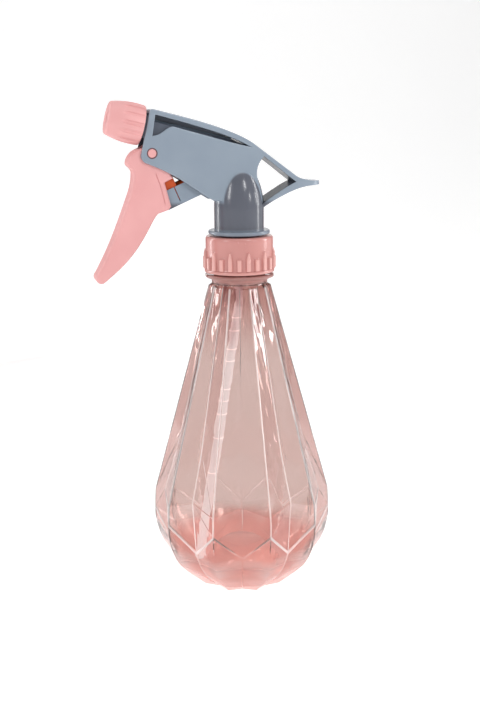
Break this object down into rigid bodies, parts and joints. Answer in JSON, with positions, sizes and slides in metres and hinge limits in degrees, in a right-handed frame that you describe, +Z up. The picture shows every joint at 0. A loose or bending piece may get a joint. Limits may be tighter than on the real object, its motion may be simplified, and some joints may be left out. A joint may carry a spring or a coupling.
{
  "type": "hand mister",
  "caption": "Hand mister: a pleated, tear-shaped clear bottle with a ribbed screw collar and a trigger sprayer head with a fluted, turning nozzle cap.",
  "frame": {"origin": "centre of the foot ring, on the surface the bottle stands on", "axes": "+Z up along the bottle axis; -X the way the nozzle sprays; the head is symmetric about Y = 0"},
  "size_m": [0.1155, 0.091, 0.2434],
  "materials": {
    "clear_pink_bottle": "transparent tinted PET, glossy",
    "pink_collar": "moulded, glossy",
    "pink_trigger": "moulded, satin",
    "grey_blue_body": "moulded, glossy",
    "orange_piston": "moulded",
    "clear_tube": "translucent polyethylene",
    "white_seal": "natural polyethylene",
    "soft_seal": "soft moulded seal",
    "steel": "stainless"
  },
  "bodies": {
    "bottle": {"bottle": "clear_pink_bottle"},
    "head": {"head_housing": "grey_blue_body", "spray_barrel": "grey_blue_body", "pump_cylinder": "grey_blue_body", "valve_body": "grey_blue_body", "inlet_valve_seat": "white_seal", "vent_valve": "soft_seal", "dip_tube_adapter": "white_seal", "dip_tube": "clear_tube", "neck_gasket": "white_seal", "nozzle_o_ring": "soft_seal", "outlet_valve_spring": "steel", "piston_spring": "steel"},
    "collar": {"screw_collar": "pink_collar"},
    "trigger": {"trigger": "pink_trigger", "trigger_pin": "pink_trigger"},
    "piston": {"piston": "orange_piston", "piston_cup_seal": "soft_seal"},
    "nozzle_insert": {"nozzle_insert": "white_seal"},
    "nozzle_cap": {"nozzle_cap": "pink_trigger"},
    "outlet_valve": {"outlet_valve": "white_seal"},
    "inlet_ball": {"inlet_ball": "steel"}
  },
  "joints": [
    {"name": "head_lift", "type": "slide", "parent": "bottle", "child": "head", "axis": [0, 0, 1], "range_m": [0, 0.175], "deforming": ["dip_tube"]},
    {"name": "collar_turn", "type": "hinge", "parent": "head", "child": "collar", "pos_m": [0, 0, 0.17], "axis": [0, 0, 1], "continuous": true},
    {"name": "trigger_squeeze", "type": "hinge", "parent": "head", "child": "trigger", "pos_m": [-0.0432, 0, 0.2193], "axis": [0, -1, 0], "range_deg": [0, 18], "stiffness_Nm_per_rad": 0.6, "springref_deg": -17.19},
    {"name": "piston_slide", "type": "slide", "parent": "head", "child": "piston", "axis": [0.9205, 0, 0.3907], "range_m": [0, 0.0069], "deforming": ["piston_spring"]},
    {"name": "nozzle_travel", "type": "slide", "parent": "head", "child": "nozzle_insert", "axis": [-0.9703, 0, 0.2419], "range_m": [0, 0.0031]},
    {"name": "nozzle_turn", "type": "hinge", "parent": "nozzle_insert", "child": "nozzle_cap", "pos_m": [-0.0466, 0, 0.2318], "axis": [-0.9703, 0, 0.2419], "range_deg": [0, 540]},
    {"name": "outlet_valve_lift", "type": "slide", "parent": "head", "child": "outlet_valve", "axis": [-0.9703, 0, 0.2419], "range_m": [0, 0.0008], "deforming": ["outlet_valve_spring"]},
    {"name": "inlet_ball_lift", "type": "slide", "parent": "head", "child": "inlet_ball", "axis": [0, 0, 1], "range_m": [0, 0.0015]}
  ],
  "couplings": [
    {"joint": "piston_slide", "follows": "trigger_squeeze", "m_per_rad": 0.0216},
    {"joint": "nozzle_travel", "follows": "nozzle_turn", "m_per_rad": 0.00031831}
  ]
}
